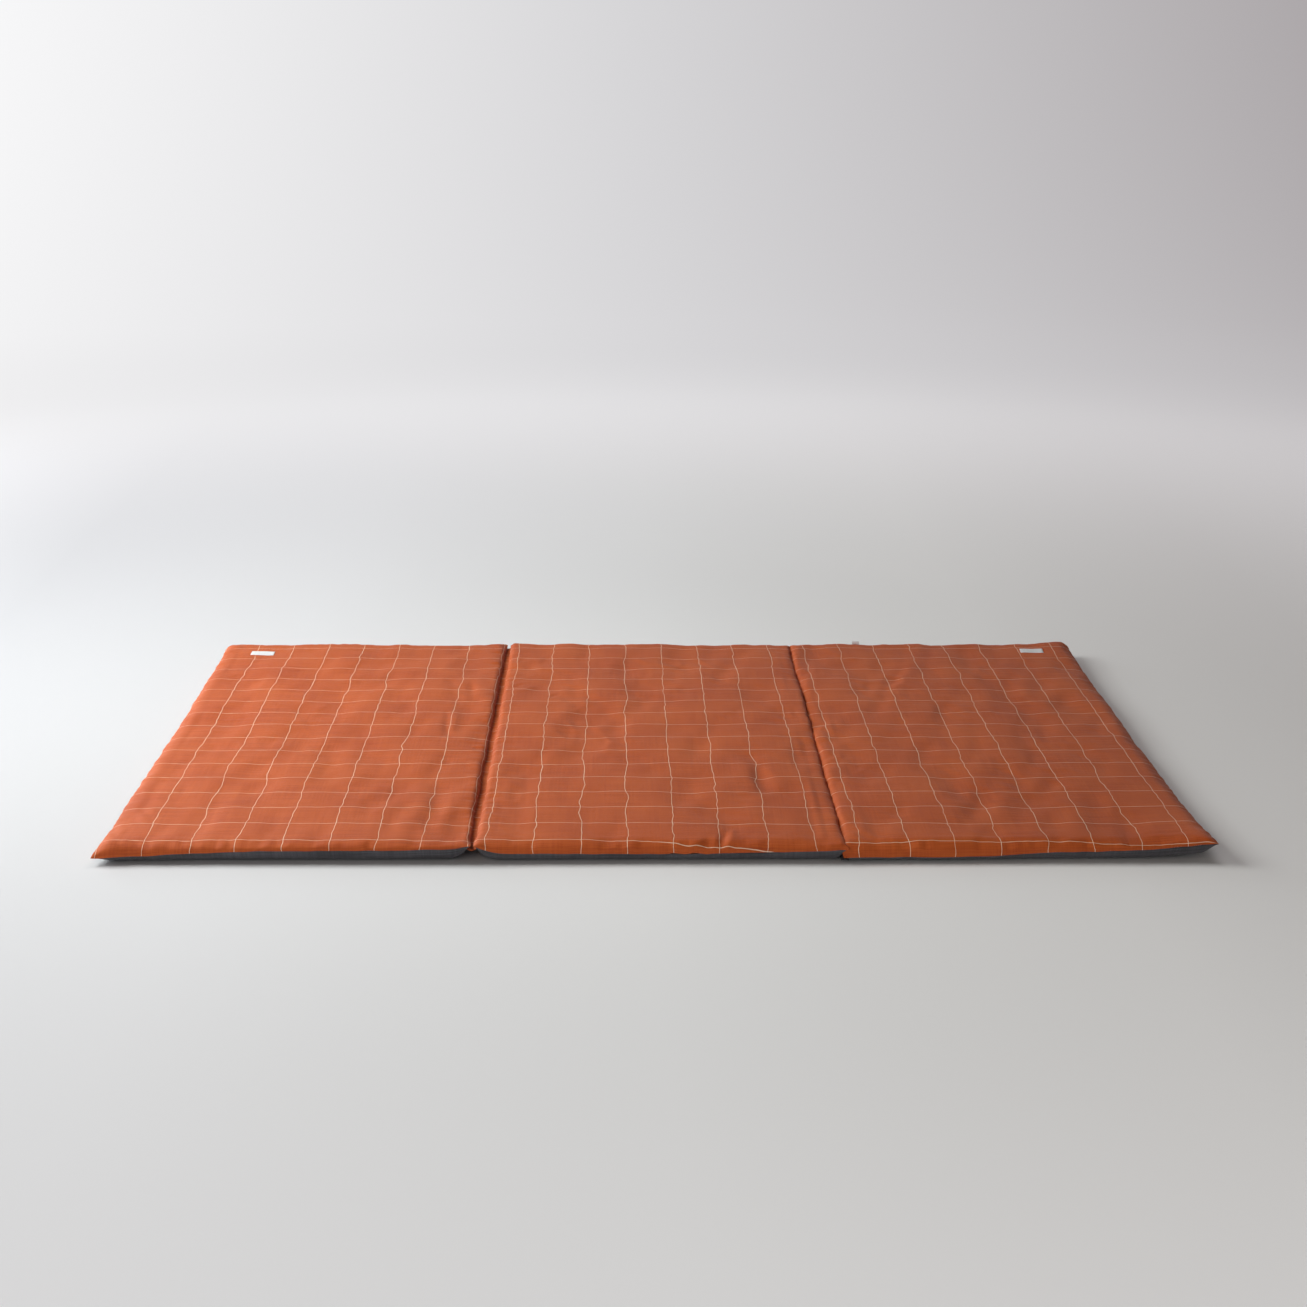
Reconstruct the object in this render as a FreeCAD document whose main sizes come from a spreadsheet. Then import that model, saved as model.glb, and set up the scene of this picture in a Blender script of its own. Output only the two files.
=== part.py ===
import FreeCAD, Part
import Sketcher
import os
import re

# A folding futon mattress: three padded pads in a row, joined by cloth hinges. Each pad is a removable cover
# in two halves, with a zip in its rear seam, over an inner case that holds a firm core wrapped in wadding.
# Millimetres: X along the row of pads, Y towards the rear, Z up, origin in the middle of the underside.

SIZES = {
    "pad_width": 647,
    "pad_depth": 1300,
    "pad_height": 40,
    "fold_gap": 4.5,
    "seam_height": 17,
    "seam_band": 0.5,
    "cover_cloth": 0.6,
    "case_side_ease": 10,
    "case_face_ease": 0.6,
    "case_cloth": 0.5,
    "filling_ease": 0.2,
    "core_wrap": 22,
    "core_bottom": 11,
    "core_height": 18,
    "hinge_cloth": 0.6,
    "hinge_drop": 5,
    "hinge_end_margin": 18,
    "hinge_ease": 0.15,
    "zip_corner_margin": 33,
    "zip_recess": 4.3,
    "slot_half": 4,
    "tape_tail": 18,
    "tape_width": 9,
    "tape_cloth": 0.5,
    "coil_radius": 0.9,
    "coil_gap": 1.1,
    "stop_length": 3,
    "slider_length": 9,
    "slider_half": 3.5,
    "slider_plate": 1,
    "slider_ease": 0.3,
    "flange_width": 0.8,
    "flange_depth": 0.6,
    "post_length": 3,
    "post_half": 0.35,
    "crown_half": 0.6,
    "crown_span": 3.2,
    "crown_plate": 0.8,
    "pull_length": 16,
    "pull_half": 2.6,
    "pull_bar": 0.5,
    "pull_ease": 0.4,
    "pull_eye": 4.2,
    "pull_eye_half": 1.3,
    "pull_hole": 1.1,
    "label_width": 53,
    "label_depth": 31,
    "label_cloth": 0.4,
    "left_label_side": 67,
    "left_label_rear": 75,
    "right_label_side": 70,
    "right_label_rear": 64,
    "tab_width": 16,
    "tab_height": 19,
    "tab_cloth": 0.6,
    "tab_corner_margin": 146,
}

# What follows from the sizes, as expressions for the sheet.
REAR = "(pad_depth / 2)"
SIDE = "(pad_width / 2)"
PITCH = "(pad_width + fold_gap)"
COIL_EDGE = "(coil_gap / 2 + 2 * coil_radius)"
CHAIN_FRONT = f"({REAR} - zip_recess)"
CHAIN_MIDDLE = f"({CHAIN_FRONT} - coil_radius)"
CHAIN_BACK = f"({CHAIN_FRONT} - 2 * coil_radius)"
SLOT_END = f"({SIDE} - zip_corner_margin)"
CHAIN_END = f"({SLOT_END} - tape_tail - stop_length)"
TAPE_FRONT = f"({CHAIN_MIDDLE} + tape_cloth / 2)"
TAPE_BACK = f"({CHAIN_MIDDLE} - tape_cloth / 2)"
SLIDER_X = f"(slider_length / 2 + slider_ease - {CHAIN_END})"
OUTER_PLATE = f"({CHAIN_FRONT} + slider_ease)"
OUTER_FACE = f"({OUTER_PLATE} + slider_plate)"
INNER_PLATE = f"({CHAIN_BACK} - slider_ease)"
PULL_Y = f"({OUTER_FACE} + pull_ease + pull_bar)"
CROWN_UNDER = f"({PULL_Y} + pull_bar + slider_ease)"
PAST = 1  # how far a cutting block runs past what it cuts
ROUGH_SIZE = 300  # half the square that a sketch starts from, before its sizes are bound

PADS = {"left": f"-{PITCH}", "middle": "0", "right": PITCH}

doc = FreeCAD.newDocument("futon_mattress")
sheet = doc.addObject("Spreadsheet::Sheet", "Sizes")
for row, (alias, value) in enumerate(SIZES.items(), start=1):
    sheet.set(f"A{row}", alias)
    sheet.set(f"B{row}", str(value))
    sheet.setAlias(f"B{row}", alias)
doc.recompute()

nodes = []


def sized(expression):
    """The expression with each size name pointing at its cell of the sheet."""
    return re.sub(r"[a-z]+(?:_[a-z]+)+", lambda name: "Sizes." + name.group(), str(expression))


def node(solid, name, centre="0"):
    """Makes the object a sub-part of the mattress, moved along X to its pad's centre."""
    solid.Label = name
    if centre != "0":
        solid.setExpression("Placement.Base.x", sized(centre))
    nodes.append(solid)
    return solid


def block(name, x, y, z):
    """A plain block between its limits along X, Y and Z."""
    solid = doc.addObject("Part::Box", name)
    for side, axis, (low, high) in zip(("Length", "Width", "Height"), "xyz", (x, y, z)):
        solid.setExpression(side, sized(f"({high}) - ({low})"))
        solid.setExpression(f"Placement.Base.{axis}", sized(low))
    return solid


def rod(name, turn, x, y, z, radius, length):
    """A cylinder from the point x, y, z. It stands along Z unless turned."""
    solid = doc.addObject("Part::Cylinder", name)
    solid.Placement = FreeCAD.Placement(FreeCAD.Vector(), turn)
    solid.setExpression("Radius", sized(radius))
    solid.setExpression("Height", sized(length))
    for axis, place in zip("xyz", (x, y, z)):
        solid.setExpression(f"Placement.Base.{axis}", sized(place))
    return solid


def cut(name, solid, tool):
    result = doc.addObject("Part::Cut", name)
    result.Base, result.Tool = solid, tool
    return result


def joined(name, *solids):
    result = doc.addObject("Part::MultiFuse", name)
    result.Shapes = list(solids)
    return result


def shared(name, solid, tool):
    result = doc.addObject("Part::Common", name)
    result.Base, result.Tool = solid, tool
    return result


def flat_face(feature, highest):
    """The name of the feature's highest or lowest face."""
    heights = [face.CenterOfMass.z for face in feature.Shape.Faces]
    wanted = max(heights) if highest else min(heights)
    return f"Face{heights.index(wanted) + 1}"


def outline(body, name, inset, level):
    """The pad's rectangle, inset on every side, sketched at a level above the floor."""
    sketch = body.newObject("Sketcher::SketchObject", name + "_outline")
    plane = next(item for item in body.Origin.OriginFeatures if item.Role == "XY_Plane")
    sketch.AttachmentSupport = [(plane, "")]
    sketch.MapMode = "FlatFace"
    sketch.setExpression("AttachmentOffset.Base.z", sized(level))
    corners = [FreeCAD.Vector(x, y, 0) for x, y in ((-1, -1), (1, -1), (1, 1), (-1, 1))]
    for start, end in zip(corners, corners[1:] + corners[:1]):
        sketch.addGeometry(Part.LineSegment(start * ROUGH_SIZE, end * ROUGH_SIZE))
    for edge in range(4):
        sketch.addConstraint(Sketcher.Constraint("Coincident", edge, 2, (edge + 1) % 4, 1))
        sketch.addConstraint(Sketcher.Constraint("Vertical" if edge % 2 else "Horizontal", edge))
    sketch.addConstraint(Sketcher.Constraint("Symmetric", 0, 1, 2, 1, -1, 1))
    lengths = (("across", "DistanceX", 0, "pad_width"), ("deep", "DistanceY", 1, "pad_depth"))
    for size, way, edge, length in lengths:
        driving = sketch.addConstraint(Sketcher.Constraint(way, edge, 1, edge, 2, 2 * ROUGH_SIZE))
        sketch.renameConstraint(driving, size)
        sketch.setExpression(f"Constraints.{size}", sized(f"{length} - 2 * ({inset})"))
    return sketch


def padded_block(name, inset, low, high, round_low=False, round_high=False):
    """A block inset from the pad's outline. Rounded edges roll over from the level of the seam."""
    body = doc.addObject("PartDesign::Body", name)
    pad = body.newObject("PartDesign::Pad", name + "_pad")
    pad.Profile = outline(body, name, inset, low)
    pad.setExpression("Length", sized(f"({high}) - ({low})"))
    doc.recompute()
    last = pad
    rounds = []
    if round_high:
        rounds.append(("_upper_round", True, f"({high}) - seam_height - seam_band"))
    if round_low:
        rounds.append(("_lower_round", False, f"seam_height - seam_band - ({low})"))
    for suffix, highest, radius in rounds:
        fillet = body.newObject("PartDesign::Fillet", name + suffix)
        fillet.Base = (last, [flat_face(last, highest)])
        fillet.setExpression("Radius", sized(radius))
        doc.recompute()
        last = fillet
    body.Tip = last
    return body


def hem(name, low, high):
    """The cover's edge turned in beside the zip, as far as the tape it is sewn to."""
    lap = "cover_cloth"
    return block(name, (f"-{SLOT_END}", SLOT_END), (TAPE_FRONT, f"{REAR} - {lap}"), (low, high))


def covers(pad, centre):
    """The two halves of the removable cover, open along the zip."""
    slot = block(
        pad + "_zip_slot",
        (f"-{SLOT_END}", SLOT_END),
        (f"{REAR} - 3 * cover_cloth", f"{REAR} + {PAST}"),
        ("seam_height - slot_half", "seam_height + slot_half"),
    )
    upper = padded_block(pad + "_upper_form", "0", "seam_height", "pad_height", round_high=True)
    levels = (f"seam_height - {PAST}", "pad_height - cover_cloth")
    upper_space = padded_block(pad + "_upper_space", "cover_cloth", *levels, round_high=True)
    upper_shell = cut(pad + "_upper_shell", cut(pad + "_upper_hollow", upper, upper_space), slot)
    upper_hem = hem(pad + "_upper_hem", "seam_height + slot_half", "seam_height + slot_half + cover_cloth")
    node(joined(pad + "_upper_sewn", upper_shell, upper_hem), pad + "_top_cover", centre)

    lower = padded_block(pad + "_lower_form", "0", "0", "seam_height", round_low=True)
    levels = ("cover_cloth", f"seam_height + {PAST}")
    lower_space = padded_block(pad + "_lower_space", "cover_cloth", *levels, round_low=True)
    lower_shell = cut(pad + "_lower_shell", cut(pad + "_lower_hollow", lower, lower_space), slot)
    lower_hem = hem(pad + "_lower_hem", "seam_height - slot_half - cover_cloth", "seam_height - slot_half")
    node(joined(pad + "_lower_sewn", lower_shell, lower_hem), pad + "_bottom_cover", centre)


def closed_form(name, side, face):
    """The closed shape of what lies inside the cover, inset at the sides and at both faces."""
    return padded_block(name, side, face, f"pad_height - ({face})", round_low=True, round_high=True)


def inner_pad(pad, centre):
    """The inner case, and in it the core with the wadding that wraps it from above and below."""
    case_side, case_face = "cover_cloth + case_side_ease", "cover_cloth + case_face_ease"
    space_side, space_face = f"{case_side} + case_cloth", f"{case_face} + case_cloth"
    fill_side, fill_face = f"{space_side} + filling_ease", f"{space_face} + filling_ease"
    core_side = f"{fill_side} + core_wrap"
    case_form = closed_form(pad + "_case_form", case_side, case_face)
    case_space = closed_form(pad + "_case_space", space_side, space_face)
    node(cut(pad + "_case_shell", case_form, case_space), pad + "_inner_case", centre)

    core = padded_block(pad + "_core_block", core_side, "core_bottom", "core_bottom + core_height")
    node(core, pad + "_core", centre)

    core_space = padded_block(
        pad + "_core_space",
        f"{core_side} - filling_ease",
        "core_bottom - filling_ease",
        "core_bottom + core_height + filling_ease",
    )
    filling = cut(pad + "_filling", closed_form(pad + "_filling_form", fill_side, fill_face), core_space)
    across, deep = (f"-{SIDE}", SIDE), (f"-{REAR}", REAR)
    below = block(pad + "_below_seam", across, deep, (f"-{PAST}", "seam_height"))
    above = block(pad + "_above_seam", across, deep, ("seam_height", f"pad_height + {PAST}"))
    node(cut(pad + "_upper_batt", filling, below), pad + "_upper_wadding", centre)
    node(cut(pad + "_lower_batt", filling, above), pad + "_lower_wadding", centre)


def mirrored_levels(low, high):
    """The same pair of levels above and below the seam."""
    return (
        ("upper", f"seam_height + {low}", f"seam_height + {high}"),
        ("lower", f"seam_height - ({high})", f"seam_height - ({low})"),
    )


def zip_chain(pad, centre):
    """The closed chain: two tapes, two coils and the stops at both ends."""
    tapes = [
        block(f"{pad}_{half}_tape", (f"-{SLOT_END}", SLOT_END), (TAPE_BACK, TAPE_FRONT), (low, high))
        for half, low, high in mirrored_levels(COIL_EDGE, f"{COIL_EDGE} + tape_width")
    ]
    room = closed_form(pad + "_tape_room", "cover_cloth", "cover_cloth")
    node(shared(pad + "_tape_pair", joined(pad + "_full_tapes", *tapes), room), pad + "_zip_tapes", centre)

    along_x = FreeCAD.Rotation(FreeCAD.Vector(0, 1, 0), 90)
    reach = "(coil_gap / 2 + coil_radius)"
    coils = [
        rod(name, along_x, f"-{CHAIN_END}", CHAIN_MIDDLE, level, "coil_radius", f"2 * {CHAIN_END}")
        for name, level in (
            (pad + "_upper_coil", f"seam_height + {reach}"),
            (pad + "_lower_coil", f"seam_height - {reach}"),
        )
    ]
    node(joined(pad + "_coil_pair", *coils), pad + "_zip_coils", centre)

    levels = (f"seam_height - {COIL_EDGE}", f"seam_height + {COIL_EDGE}")
    ends = (
        ("first", f"-{CHAIN_END} - stop_length", f"-{CHAIN_END}"),
        ("last", CHAIN_END, f"{CHAIN_END} + stop_length"),
    )
    stops = [
        block(f"{pad}_{end}_stop", (low, high), (CHAIN_BACK, CHAIN_FRONT), levels) for end, low, high in ends
    ]
    node(joined(pad + "_stop_pair", *stops), pad + "_zip_stops", centre)


def zip_slider(pad, centre):
    """The slider: two flanged plates on a post that runs between the coils, with a crown to hold the pull."""
    x = (f"{SLIDER_X} - slider_length / 2", f"{SLIDER_X} + slider_length / 2")
    z = ("seam_height - slider_half", "seam_height + slider_half")
    parts = [
        block(pad + "_outer_plate", x, (OUTER_PLATE, OUTER_FACE), z),
        block(pad + "_inner_plate", x, (f"{INNER_PLATE} - slider_plate", INNER_PLATE), z),
        block(
            pad + "_slider_post",
            (f"{SLIDER_X} - post_length / 2", f"{SLIDER_X} + post_length / 2"),
            (INNER_PLATE, OUTER_PLATE),
            ("seam_height - post_half", "seam_height + post_half"),
        ),
    ]
    outer_flange = (f"{OUTER_PLATE} - flange_depth", OUTER_PLATE)
    inner_flange = (INNER_PLATE, f"{INNER_PLATE} + flange_depth")
    for half, low, high in mirrored_levels("slider_half - flange_width", "slider_half"):
        parts.append(block(f"{pad}_{half}_outer_flange", x, outer_flange, (low, high)))
        parts.append(block(f"{pad}_{half}_inner_flange", x, inner_flange, (low, high)))
    crown_z = ("seam_height - crown_half", "seam_height + crown_half")
    crown_top = f"{CROWN_UNDER} + crown_plate"
    crown_x = (f"{SLIDER_X} - crown_span", f"{SLIDER_X} + crown_span")
    parts.append(block(pad + "_crown_bar", crown_x, (CROWN_UNDER, crown_top), crown_z))
    for end, low, high in (
        ("first", crown_x[0], f"{crown_x[0]} + crown_plate"),
        ("last", f"{crown_x[1]} - crown_plate", crown_x[1]),
    ):
        parts.append(block(f"{pad}_{end}_crown_leg", (low, high), (OUTER_FACE, CROWN_UNDER), crown_z))
    node(joined(pad + "_slider_casting", *parts), pad + "_zip_slider", centre)


def zip_pull(pad, centre):
    """The pull tab, whose cross bar is held under the slider's crown."""
    upright = FreeCAD.Rotation()
    facing_y = FreeCAD.Rotation(FreeCAD.Vector(1, 0, 0), -90)
    y = (f"{PULL_Y} - pull_bar", f"{PULL_Y} + pull_bar")
    wide = ("seam_height - pull_half", "seam_height + pull_half")
    tip = f"{SLIDER_X} + pull_length - pull_half"
    plate = block(pad + "_pull_plate", (SLIDER_X, tip), y, wide)
    eye = block(
        pad + "_pull_eye_space",
        (f"{SLIDER_X} - {PAST}", f"{SLIDER_X} + pull_eye"),
        (f"{y[0]} - {PAST}", f"{y[1]} + {PAST}"),
        ("seam_height - pull_eye_half", "seam_height + pull_eye_half"),
    )
    bar = rod(pad + "_pull_bar", upright, SLIDER_X, PULL_Y, wide[0], "pull_bar", "2 * pull_half")
    end = rod(pad + "_pull_tip", facing_y, tip, y[0], "seam_height", "pull_half", "2 * pull_bar")
    through = (f"{y[0]} - {PAST}", "seam_height", "pull_hole", f"2 * pull_bar + 2 * {PAST}")
    hole = rod(pad + "_pull_hole", facing_y, tip, *through)
    blank = joined(pad + "_pull_blank", cut(pad + "_pull_frame", plate, eye), bar, end)
    node(cut(pad + "_pull_tab", blank, hole), pad + "_zip_pull", centre)


def hinge_strip(name, centre, level, radius, rise):
    """A cloth strip across the gap, at a rise from the seam band where the pads' sides have curved away."""
    half = f"(fold_gap / 2 + {radius} - sqrt({radius} * {radius} - {rise} * {rise}) - hinge_ease)"
    deep = f"({REAR} - hinge_end_margin)"
    across = (f"{centre} - {half}", f"{centre} + {half}")
    node(block(name + "_blank", across, (f"-{deep}", deep), (level, f"{level} + hinge_cloth")), name)


def labels():
    """The blank labels on top, near the rear corners, and the small tab in the right pad's rear seam."""
    row_end = f"({PITCH} + {SIDE})"
    places = (
        ("left", f"left_label_side - {row_end}", "left_label_rear"),
        ("right", f"{row_end} - right_label_side - label_width", "right_label_rear"),
    )
    for side, left_end, rear in places:
        x = (left_end, f"{left_end} + label_width")
        y = (f"{REAR} - {rear} - label_depth", f"{REAR} - {rear}")
        z = ("pad_height", "pad_height + label_cloth")
        node(block(side + "_label_blank", x, y, z), side + "_corner_label")
    start = f"{PITCH} - {SIDE} + tab_corner_margin"
    base = "seam_height + slot_half"
    x, y = (start, f"{start} + tab_width"), (REAR, f"{REAR} + tab_cloth")
    node(block("care_tab_blank", x, y, (base, f"{base} + tab_height")), "care_tab")


for pad, centre in PADS.items():
    covers(pad, centre)
    inner_pad(pad, centre)
    zip_chain(pad, centre)
    zip_slider(pad, centre)
    zip_pull(pad, centre)

upper_level = "(pad_height - hinge_drop - hinge_cloth)"
upper_radius = "(pad_height - seam_height - seam_band)"
upper_rise = f"({upper_level} - seam_height - seam_band)"
hinge_strip("left_hinge_strip", f"-{PITCH} / 2", upper_level, upper_radius, upper_rise)
lower_radius = "(seam_height - seam_band)"
lower_rise = f"({lower_radius} - hinge_drop - hinge_cloth)"
hinge_strip("right_hinge_strip", f"{PITCH} / 2", "hinge_drop", lower_radius, lower_rise)
labels()
doc.recompute()

for item in doc.Objects:
    if {"Invalid", "Error"} & set(item.State):
        raise RuntimeError(f"{item.Label} failed: {item.State}")
for piece in nodes:
    if piece.Shape.isNull() or not piece.Shape.isValid() or not piece.Shape.Solids:
        raise RuntimeError(f"{piece.Label} has no valid solid")

os.makedirs("parts", exist_ok=True)
for piece in nodes:
    piece.Shape.exportStep(f"parts/{piece.Label}.step")
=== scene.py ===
import math

import bmesh
import bpy
import numpy as np
from mathutils import Matrix, Vector, noise
from mathutils.bvhtree import BVHTree


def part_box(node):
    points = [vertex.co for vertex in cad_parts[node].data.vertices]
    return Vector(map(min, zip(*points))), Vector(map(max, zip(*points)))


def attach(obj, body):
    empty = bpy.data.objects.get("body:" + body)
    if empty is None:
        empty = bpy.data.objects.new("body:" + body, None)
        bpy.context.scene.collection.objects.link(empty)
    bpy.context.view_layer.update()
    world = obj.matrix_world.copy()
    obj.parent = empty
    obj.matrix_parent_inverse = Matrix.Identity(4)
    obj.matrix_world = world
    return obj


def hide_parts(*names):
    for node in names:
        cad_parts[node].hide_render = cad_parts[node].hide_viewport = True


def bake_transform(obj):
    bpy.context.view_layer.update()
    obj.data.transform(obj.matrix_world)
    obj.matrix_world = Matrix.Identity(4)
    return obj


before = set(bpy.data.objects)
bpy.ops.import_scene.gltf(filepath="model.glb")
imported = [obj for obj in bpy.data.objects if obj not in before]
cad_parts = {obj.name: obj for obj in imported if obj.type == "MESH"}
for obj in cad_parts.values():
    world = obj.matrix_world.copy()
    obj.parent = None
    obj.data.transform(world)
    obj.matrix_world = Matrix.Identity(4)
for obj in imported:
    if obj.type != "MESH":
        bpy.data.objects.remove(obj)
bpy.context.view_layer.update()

scene = bpy.context.scene
MM = 0.001

# ---------------------------------------------------------------- camera, floor and light

CAMERA_PLACE = (-0.0678, -4.1125, 1.3718)
CAMERA_DOWN, CAMERA_RIGHT, CAMERA_ROLL = 15.949, 0.948, 0.257  # degrees
LENS = 58.52


def aim_camera():
    """The camera at standing height in front of the row of pads."""
    down, right, roll = (math.radians(a) for a in (CAMERA_DOWN, CAMERA_RIGHT, CAMERA_ROLL))
    forward = Vector((math.sin(right) * math.cos(down), math.cos(right) * math.cos(down), -math.sin(down)))
    level = Vector((math.cos(right), -math.sin(right), 0))
    upright = level.cross(forward)
    across = level * math.cos(roll) + upright * math.sin(roll)
    above = upright * math.cos(roll) - level * math.sin(roll)
    lens = bpy.data.cameras.new("camera")
    lens.lens, lens.sensor_width = LENS, 36
    camera = bpy.data.objects.new("camera", lens)
    scene.collection.objects.link(camera)
    turn = Matrix((across, above, -forward)).transposed().to_4x4()
    camera.matrix_world = Matrix.Translation(CAMERA_PLACE) @ turn
    scene.camera = camera


def soft_light(name, place, target, size, watts, tint):
    """A square softbox that faces the target."""
    light = bpy.data.lights.new(name, "AREA")
    light.size, light.energy, light.color = size, watts, tint
    lamp = bpy.data.objects.new(name, light)
    lamp.location = place
    lamp.rotation_euler = (Vector(target) - Vector(place)).to_track_quat("-Z", "Y").to_euler()
    scene.collection.objects.link(lamp)


def studio():
    """A pale floor with a painted glow, that rises into a wall all round, and soft light from the upper left."""
    flat, rise, steps = 7.0, 5.0, 96  # m to the cove, m of its rise, and points round a ring
    rings = [0.6, 2.0, 4.0, flat] + [flat + rise * math.sin(math.radians(a)) for a in range(6, 91, 6)]
    levels = [0.0] * 4 + [rise * (1 - math.cos(math.radians(a))) for a in range(6, 91, 6)]
    bowl = bmesh.new()
    centre = bowl.verts.new((0, 0, 0))
    rows = []
    for ring, level in zip(rings, levels):
        angles = [2 * math.pi * i / steps for i in range(steps)]
        rows.append([bowl.verts.new((ring * math.cos(a), ring * math.sin(a), level)) for a in angles])
    for i in range(steps):
        bowl.faces.new((centre, rows[0][i], rows[0][(i + 1) % steps]))
        for inner, outer in zip(rows, rows[1:]):
            bowl.faces.new((inner[i], outer[i], outer[(i + 1) % steps], inner[(i + 1) % steps]))
    mesh = bpy.data.meshes.new("floor")
    bowl.to_mesh(mesh)
    bowl.free()
    mesh.shade_smooth()
    floor = bpy.data.objects.new("floor", mesh)
    scene.collection.objects.link(floor)
    mesh.materials.append(painted_floor())
    soft_light("key_softbox", (-2.4, 0.1, 1.9), (-0.6, 0.0, 0.0), 1.7, 88, (1.0, 1.01, 0.96))
    soft_light("front_fill", (-1.6, -4.6, 3.0), (-0.2, 0, 0), 3.0, 26, (1.0, 0.87, 0.74))
    soft_light("back_window", (-3.5, 2.7, 1.3), (-0.6, 0, 0), 1.6, 42, (0.97, 0.99, 1.0))
    world = bpy.data.worlds.new("studio_air")
    world.use_nodes = True
    back = next(n for n in world.node_tree.nodes if n.type == "BACKGROUND")
    back.inputs["Color"].default_value = (1.0, 0.84, 0.7, 1)
    back.inputs["Strength"].default_value = 0.08
    scene.world = world
    scene.view_settings.view_transform = "Standard"


# ---------------------------------------------------------------- materials


def paint(code):
    """The linear colour of an sRGB hex value."""
    parts = [int(code[i : i + 2], 16) / 255 for i in (1, 3, 5)]
    return (*(p / 12.92 if p <= 0.04045 else ((p + 0.055) / 1.055) ** 2.4 for p in parts), 1.0)


def add(tree, kind, inputs=None, **settings):
    """Adds a node with its settings, and gives its inputs a value or a link."""
    made = tree.nodes.new("ShaderNode" + kind)
    for name, value in settings.items():
        setattr(made, name, value)
    for name, value in (inputs or {}).items():
        if isinstance(value, bpy.types.Node):
            value = value.outputs[0]
        if isinstance(value, bpy.types.NodeSocket):
            tree.links.new(value, made.inputs[name])
        else:
            made.inputs[name].default_value = value
    return made


def calc(tree, operation, *values):
    """Arithmetic on numbers or on the values of other nodes."""
    return add(tree, "Math", dict(enumerate(values)), operation=operation)


def finish(name, roughness, base, bump=None, bump_height=0.0002, sockets=None):
    """A material from its colour and its relief. The relief is in metres when the bump is at full strength."""
    material = bpy.data.materials.new(name)
    material.use_nodes = True
    tree = material.node_tree
    shader = next(n for n in tree.nodes if n.type == "BSDF_PRINCIPLED")
    tree.links.new(base(tree).outputs[0], shader.inputs["Base Color"])
    shader.inputs["Roughness"].default_value = roughness
    for socket, value in (sockets or {}).items():
        shader.inputs[socket].default_value = value
    if bump:
        relief = add(tree, "Bump", {"Height": bump(tree), "Distance": bump_height, "Strength": 1.0})
        tree.links.new(relief.outputs[0], shader.inputs["Normal"])
    return material


def tones(tree, share, stops):
    """A colour ramp through stops, each a place from 0 to 1 and a hex colour."""
    ramp = add(tree, "ValToRGB", {"Fac": share})
    marks = ramp.color_ramp.elements
    for mark, (place, code) in ((marks[0], stops[0]), (marks[1], stops[-1])):
        mark.position, mark.color = place, paint(code)
    for place, code in stops[1:-1]:
        marks.new(place).color = paint(code)
    return ramp


def threads(tree, across, along, seed=0.0, detail=3.0):
    """Uneven threads: noise drawn out along one direction of the cloth. The sizes are in metres."""
    place = add(tree, "Attribute", attribute_name="cloth_place")
    stretch = add(
        tree,
        "Mapping",
        {"Vector": place.outputs["Vector"], "Scale": (1 / across, 1 / along, 1.0), "Location": (seed, seed, 0)},
    )
    return add(tree, "TexNoise", {"Vector": stretch, "Scale": 1.0, "Detail": detail, "Roughness": 0.55})


def weave(tree):
    """Plain weave. Threads of half a millimetre are too fine to show, so the ribs are 1.3 mm apart."""
    place = add(tree, "Attribute", attribute_name="cloth_place")
    split = add(tree, "SeparateXYZ", {"Vector": place.outputs["Vector"]})
    turns = 2 * math.pi / (1.3 * MM)
    ribs = [
        calc(tree, "SINE", calc(tree, "MULTIPLY", split.outputs[axis], turns))
        for axis in ("X", "Y")
    ]
    woven = calc(tree, "MULTIPLY", *ribs)
    slubs = calc(tree, "MULTIPLY", threads(tree, 0.09, 0.0017), 2.2)
    return calc(tree, "ADD", calc(tree, "MULTIPLY", woven, 0.35), slubs)


def thread_tone(tree, dark, mid, light):
    """The cloth's colour: streaks of thicker and paler weft, a little warp, and patches where the dye took unevenly."""
    weft = threads(tree, 0.12, 0.0022, 3.0)
    warp = threads(tree, 0.0030, 0.15, 7.0)
    patches = threads(tree, 0.14, 0.17, 11.0, 1.0)
    mixed = calc(tree, "ADD", weft, calc(tree, "MULTIPLY", warp, 0.5))
    mixed = calc(tree, "ADD", mixed, calc(tree, "MULTIPLY", patches, 0.5))
    return tones(tree, calc(tree, "MULTIPLY", mixed, 0.5), ((0.39, dark), (0.5, mid), (0.61, light)))


def check_tone(tree):
    """Terracotta yarn-dyed cotton with single cream threads in both directions."""
    colour = thread_tone(tree, "#b04a19", "#bd551d", "#c65e23")
    count = add(tree, "Attribute", attribute_name="check_count")
    split = add(tree, "SeparateXYZ", {"Vector": count.outputs["Vector"]})
    # The thread's half width to its faded edge and its full core, as shares of a cell, and how strong it shows.
    for axis, edge, core, strength in (("Y", 0.0078, 0.0036, 0.85), ("X", 0.0064, 0.0028, 1.0)):
        near = calc(tree, "PINGPONG", split.outputs[axis], 1.0)
        size = calc(tree, "ABSOLUTE", calc(tree, "SUBTRACT", near, 0.5))
        cream = add(tree, "MapRange", {"Value": size, "From Min": core, "From Max": edge, "To Min": strength,
                                       "To Max": 0.0}, interpolation_type="SMOOTHSTEP")
        uneven = add(tree, "MapRange", {"Value": threads(tree, 0.03, 0.03, 19.0), "From Min": 0.35,
                                        "From Max": 0.6, "To Min": 0.88, "To Max": 1.0})
        share = calc(tree, "MULTIPLY", cream, uneven)
        colour = add(tree, "MixRGB", {"Fac": share, "Color1": colour, "Color2": paint("#fbe9cf")})
    return colour


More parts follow.
